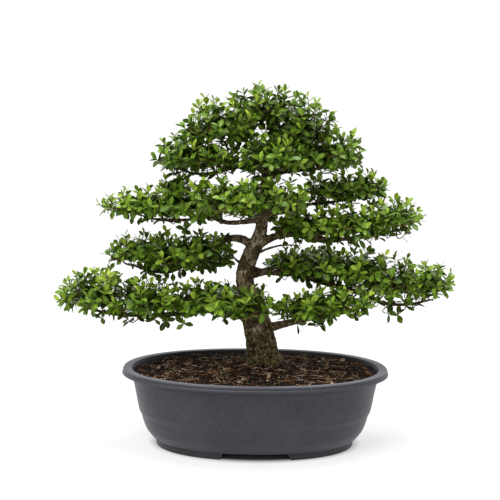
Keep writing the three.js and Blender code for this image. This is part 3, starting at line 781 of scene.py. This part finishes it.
def make_pad(name, pad, blades, leaf_finish, twig_finish, seed):
    """The leaves of one pad and the twigs that bear them, as two pieces."""
    rng = random.Random(seed)
    lobes = pad["lobes"]
    stretches = leafy_boughs(pad)
    grown = list(stretches)
    runs = branchlets(lobes, grown, rng)
    shoots = layer_of_shoots(lobes, rng, OUTER_SHOOTS)
    shoots += layer_of_shoots(lobes, rng, INNER_SHOOTS)
    for point, outward in bough_shoots(stretches, rng):
        count = rng.choice(BOUGH_SHOOT_LEAVES)
        shoots.append((point, outward, count, BOUGH_LEAF_SPACING, rng.uniform(*BOUGH_SHOOT_YOUTH)))
    shoots += layer_of_shoots(lobes, rng, STRAY_SHOOTS)
    shoots.sort(key=lambda shoot: min((shoot[0] - p).length for p, _ in grown))

    # Painted light: the lower pads' leaves are made paler than the crown's.
    leaf_light = CROWN_LEAF_LIGHT if lobes[0][2] > CROWN_FROM else LOWER_LEAF_LIGHT
    leaves = bmesh.new()
    for point, outward, count, spacing, youth in shoots:
        axis = outward + UP * rng.uniform(0.3, 1.0) + Vector(rng.gauss(0, 0.2) for _ in range(3))
        axis.normalize()
        # The tint is raised on shoots that face up: fresh growth, and a painted highlight from the light
        # above.
        add_rosette(leaves, blades, rng, point, axis, count, spacing, youth * (leaf_light + 0.15 * outward.z))
        base = point - axis * SHOOT_LENGTH
        origin, radius = min(grown, key=lambda pair: (pair[0] - base).length)
        thick, thin = TWIG_RADII
        run = tapering(smooth_route([origin, base, point], 3), [min(thick, radius), thin])
        runs.append(run)
        grown += run[1:4]
    finished("leaves_" + name, mesh_of(leaves), leaf_finish, ["foliage_" + name])
    twigs = tubes(runs, 0)
    twigs.shade_smooth()
    finished("twigs_" + name, twigs, twig_finish, [])


# The pot and its soil

OVAL_SHARE = 0.88
OVAL_LESS = 27
OVAL_SQUARENESS = 2.15
OVAL_FROM = 145
FLOOR_UNDER = 10
FLOOR_TOP = 13.5
BOWL_CORNERS = 0.6  # how far its edges are rounded
FOOT_CORNERS = 0.7
LIP_TOP = 116.3
LIP_BOTTOM = 107.9
LIP_SHADE_FROM = 98  # painted shade under the lip begins at this height
DRAIN_HOLES = [(85, 0), (-85, 0), (0, 40), (0, -40)]
DRAIN_RADIUS = 7
DRILL_LENGTH = 12
TURN_STEPS = 128
POT_PROFILE = [
    (0, FLOOR_UNDER), (152, FLOOR_UNDER), (155.6, 13), (159, 17), (164, 23.5), (167, 30), (169.8, 38),
    (171.8, 45.5), (173, 48.5), (175.3, 52.5), (176.2, 56), (178.2, 65), (180.8, 80), (183.5, 93),
    (185.1, LIP_SHADE_FROM), (186.8, 103), (188.4, 106.6), (196.6, LIP_BOTTOM - 0.1), (200.2, LIP_BOTTOM),
    (201.3, 109.2), (200.7, 110.7), (199.8, 111.9), (199.9, 114.6), (198.6, LIP_TOP), (194.5, LIP_TOP),
    (186.8, 115.9), (184.5, 106), (180, 92), (172.5, 54), (166, 38), (154.5, 19), (151, FLOOR_TOP),
    (0, FLOOR_TOP),
]
FOOT_PROFILE = [(141, 0), (149.4, 0), (150.5, FLOOR_UNDER), (141, FLOOR_UNDER), (141, 0)]
FOOT_NOTCH = 101
FOOT_DRAFT = 0.4
# Painted shade on the feet, as a share of the inner wall's.
FOOT_SHADE = 0.35
LEAST_CREASE = math.radians(32)  # the pot is shaded smooth over edges blunter than this


def to_oval(x, y):
    """A point of a round shape moved to the same place on the pot's oval, which is a squarish ellipse."""
    r = math.hypot(x, y)
    if r < 0.001:
        return 0, 0
    depth = OVAL_SHARE * max(r, OVAL_FROM) - OVAL_LESS
    if r < OVAL_FROM:
        depth *= r / OVAL_FROM
    across, along = (math.copysign(abs(c / r) ** (2 / OVAL_SQUARENESS), c) for c in (x, y))
    return r * across, depth * along


def turned_oval(profile, steps, corner=0.0):
    """A profile of (half width, height), its corners rounded, spun about the upright axis and made oval."""
    shape = bmesh.new()
    verts = [shape.verts.new((r, 0, z)) for r, z in profile]
    for a, b in zip(verts, verts[1:]):
        shape.edges.new((a, b))
    if corner:
        bmesh.ops.bevel(shape, geom=verts[1:-1], offset=corner, offset_type="OFFSET", segments=3, profile=0.5,
                        affect="VERTICES", material=-1)
    bmesh.ops.spin(shape, geom=[*shape.verts, *shape.edges], axis=UP, cent=(0, 0, 0), angle=math.tau,
                   steps=steps, use_merge=True)
    bmesh.ops.remove_doubles(shape, verts=shape.verts, dist=0.01)
    for vert in shape.verts:
        vert.co.x, vert.co.y = to_oval(vert.co.x, vert.co.y)
    bmesh.ops.recalc_face_normals(shape, faces=shape.faces)
    return shape


def bored(mesh, places, radius):
    """The mesh with an upright round hole bored through it at each place."""
    drills = bmesh.new()
    for x, y in places:
        bmesh.ops.create_cone(drills, cap_ends=True, segments=32, radius1=radius, radius2=radius,
                              depth=DRILL_LENGTH, matrix=Matrix.Translation((x, y, FLOOR_TOP)))
    drill = bpy.data.objects.new("drills", mesh_of(drills))
    scene.collection.objects.link(drill)
    mesh = with_modifiers(mesh, ("BOOLEAN", {"object": drill, "operation": "DIFFERENCE", "solver": "EXACT"}))
    bpy.data.objects.remove(drill)
    return mesh


def make_pot(material):
    """The bowl with its rolled lip, the drain holes through its floor, and the two C-shaped feet under it."""
    bowl = turned_oval(POT_PROFILE, TURN_STEPS, BOWL_CORNERS)
    bowl = bored(mesh_of(bowl), DRAIN_HOLES, DRAIN_RADIUS)
    pot = bmesh.new()
    pot.from_mesh(bowl)
    for side in (1, -1):
        foot = turned_oval(FOOT_PROFILE, TURN_STEPS, FOOT_CORNERS)
        cut = bmesh.ops.bisect_plane(foot, geom=[*foot.verts, *foot.edges, *foot.faces],
                                     plane_co=(FOOT_NOTCH / 2 * side, 0, 0), plane_no=(side, 0, FOOT_DRAFT),
                                     clear_inner=True)
        rims = [g for g in cut["geom_cut"] if isinstance(g, bmesh.types.BMEdge)]
        bmesh.ops.contextual_create(foot, geom=rims)
        bmesh.ops.recalc_face_normals(foot, faces=foot.faces)
        pot.from_mesh(mesh_of(foot))
    pot.normal_update()
    # Painted shade: full on the inner wall, a share of it on the feet, and growing up the outside to the
    # lip's underside.
    painted_shade = pot.verts.layers.float.new("painted_shade")
    for vert in pot.verts:
        facing_in = vert.normal.x * vert.co.x + vert.normal.y * vert.co.y < 0
        vert[painted_shade] = 1 if facing_in and FLOOR_TOP < vert.co.z < LIP_TOP - 2 else 0
        if vert.co.z < FLOOR_UNDER + 0.5:
            vert[painted_shade] = FOOT_SHADE
        elif not facing_in and vert.co.z < LIP_BOTTOM:
            vert[painted_shade] = max(0, (vert.co.z - LIP_SHADE_FROM) / (LIP_BOTTOM - LIP_SHADE_FROM)) ** 1.2
    piece = finished("oval_pot", mesh_of(pot), material, ["pot", "foot_left", "foot_right"])
    piece.data.set_sharp_from_angle(angle=LEAST_CREASE)


SOIL_EDGE_TOP = 110
SOIL_MOUND_TOP = 124
SOIL_MOUND_SPREAD = 75
SOIL_SIDE = [(0, 14), (150.5, 14), (154, 19.5), (165.5, 38), (172, 54), (179.5, 92), (184, 106)]
SOIL_TURN_STEPS = 160
SOIL_RINGS = range(183, 0, -3)  # half widths of the rings of its upper face
SOIL_SEED = 5
BITS_REACH = 177  # bits lie inside this half width of the pot's oval, and fibres start inside theirs
FIBRES_REACH = 176
FIBRES_HALF_FIELD = (181, 131)  # no fibre sticks out of this ellipse
FIBRE_COUNT = 620
FIBRE_STEPS = 5


def soil_height(x, y):
    """The soil's height at a place on the pot's oval, mounded up to the trunk and lumpy all over."""
    foot_x, foot_y = TRUNK[2][:2]
    away = math.hypot(x - foot_x, y - foot_y) / SOIL_MOUND_SPREAD
    lumps = 2.0 * noise.noise(Vector((x, y, 0)) / 22.0) + 1.5 * noise.noise(Vector((x, y, 40)) / 7.0)
    return SOIL_EDGE_TOP + (SOIL_MOUND_TOP - SOIL_EDGE_TOP) * math.exp(-away * away) + lumps


def add_bits(soil, rng, count, sizes, tints, make):
    """Strews bits over the soil: each is made as a unit shape, sized, turned, and given its own tint."""
    for _ in range(count):
        bit = bmesh.new()
        make(bit)
        for vert in bit.verts:
            vert.co += Vector(rng.gauss(0, 0.12) for _ in range(3))
        reach = BITS_REACH * math.sqrt(rng.random())
        turn = rng.uniform(0, math.tau)
        x, y = to_oval(reach * math.cos(turn), reach * math.sin(turn))
        place = Matrix.Translation((x, y, soil_height(x, y) + rng.uniform(-0.4, 0.7)))
        tilt = Matrix.Rotation(rng.gauss(0, 0.35), 4, "X") @ Matrix.Rotation(rng.gauss(0, 0.35), 4, "Y")
        size = Matrix.Diagonal((*(rng.uniform(*s) for s in sizes), 1))
        bit.transform(place @ Matrix.Rotation(rng.uniform(0, math.tau), 4, "Z") @ tilt @ size)
        layer = bit.verts.layers.float.new("tint")
        tint = rng.choice(tints) + rng.gauss(0, 0.04)
        for vert in bit.verts:
            vert[layer] = min(1, max(0, tint))
        made = mesh_of(bit, smooth=False)
        soil.from_mesh(made)
        bpy.data.meshes.remove(made)


def lath(bit):
    """A chip before it is sized."""
    bmesh.ops.create_cube(bit, size=1)


def grain(bit):
    """A crumb before it is sized."""
    bmesh.ops.create_icosphere(bit, subdivisions=1, radius=0.6)


# Bits strewn over the soil: how many, their ranges of length, width and height, their tints, and their shape.
BITS = [
    (900, ((3, 9), (1.2, 3.2), (0.8, 1.8)), (0.12, 0.28, 0.42, 0.52), lath),
    (60, ((4, 10), (3, 6), (1.5, 2.6)), (0.6, 0.72, 0.9), lath),
    (1900, ((1.2, 3.4), (1.2, 3.4), (1, 2.6)), (0.02, 0.1, 0.25, 0.48), grain),
    (300, ((1.2, 2.6), (1.2, 2.6), (1, 2)), (0.8, 1.0), grain),
]


def fibre_runs(rng):
    """Thin curved coir fibres and straws lying on the soil, as runs."""
    half_width, half_depth = FIBRES_HALF_FIELD
    runs = []
    for _ in range(FIBRE_COUNT):
        reach = FIBRES_REACH * math.sqrt(rng.random())
        turn = rng.uniform(0, math.tau)
        x, y = to_oval(reach * math.cos(turn), reach * math.sin(turn))
        heading = rng.uniform(0, math.tau)
        bend = rng.uniform(-0.5, 0.5)
        step = rng.uniform(2.0, 5.5)
        radius = rng.uniform(0.28, 0.5)
        lift = rng.uniform(0.4, 1.6)
        run = []
        for _ in range(FIBRE_STEPS):
            run.append((Vector((x, y, soil_height(x, y) + lift + rng.uniform(-0.3, 0.6))), radius))
            x += step * math.cos(heading)
            y += step * math.sin(heading)
            heading += bend
        if all(math.hypot(p.x / half_width, p.y / half_depth) < 1 for p, _ in run):
            runs.append(run)
    return runs


def make_soil(material):
    """The soil that fills the pot, with chips, crumbs and fibres lying in its upper face."""
    rng = random.Random(SOIL_SEED)
    rings = [(r, SOIL_EDGE_TOP) for r in SOIL_RINGS]
    soil = turned_oval([*SOIL_SIDE, *rings, (0, SOIL_EDGE_TOP)], SOIL_TURN_STEPS)
    layer = soil.verts.layers.float.new("tint")
    for vert in soil.verts:
        if vert.co.z > SOIL_EDGE_TOP - 1:
            vert.co.z = soil_height(vert.co.x, vert.co.y)
        vert[layer] = 0.12 + 0.2 * noise.noise(vert.co / 9.0)
    for count, sizes, tints, make in BITS:
        add_bits(soil, rng, count, sizes, tints, make)
    straws = tubes(fibre_runs(rng), 0)
    tint = straws.attributes.new("tint", "FLOAT", "POINT")
    values = [0.8 + 0.5 * noise.noise(vert.co / 14.0) for vert in straws.vertices]
    tint.data.foreach_set("value", values)
    soil.from_mesh(straws)
    mesh = bpy.data.meshes.new("soil")
    soil.to_mesh(mesh)
    soil.free()
    finished("potting_mix", mesh, material, ["soil"])


def make_floor():
    """A white paper sweep that rises behind the table. It isn't part of the object."""
    shape = bmesh.new()
    profile = [(0, -4, 0), (0, 3, 0), (0, 3, 4)]
    verts = [shape.verts.new(p) for p in profile]
    for a, b in zip(verts, verts[1:]):
        shape.edges.new((a, b))
    bmesh.ops.bevel(shape, geom=[verts[1]], offset=1.5, offset_type="OFFSET", segments=16, profile=0.5,
                    affect="VERTICES", material=-1)
    made = bmesh.ops.extrude_edge_only(shape, edges=shape.edges[:])
    moved = [g for g in made["geom"] if isinstance(g, bmesh.types.BMVert)]
    bmesh.ops.translate(shape, verts=moved, vec=(12, 0, 0))
    bmesh.ops.translate(shape, verts=shape.verts, vec=(-6, 0, 0))
    bmesh.ops.recalc_face_normals(shape, faces=shape.faces)
    mesh = mesh_of(shape)
    mesh.materials.append(floor_material())
    floor = bpy.data.objects.new("paper_sweep", mesh)
    scene.collection.objects.link(floor)


make_floor()
make_pot(pot_material())
make_soil(soil_material())
make_wood(bark_material())
blades = [leaf_blade(fold, droop) for fold, droop in LEAF_FORMS]
leaf_finish = leaf_material()
twig_finish = twig_material()
for number, (pad_name, pad) in enumerate(PADS.items()):
    make_pad(pad_name, pad, blades, leaf_finish, twig_finish, FIRST_PAD_SEED + number)
for blade in blades:
    bpy.data.meshes.remove(blade)
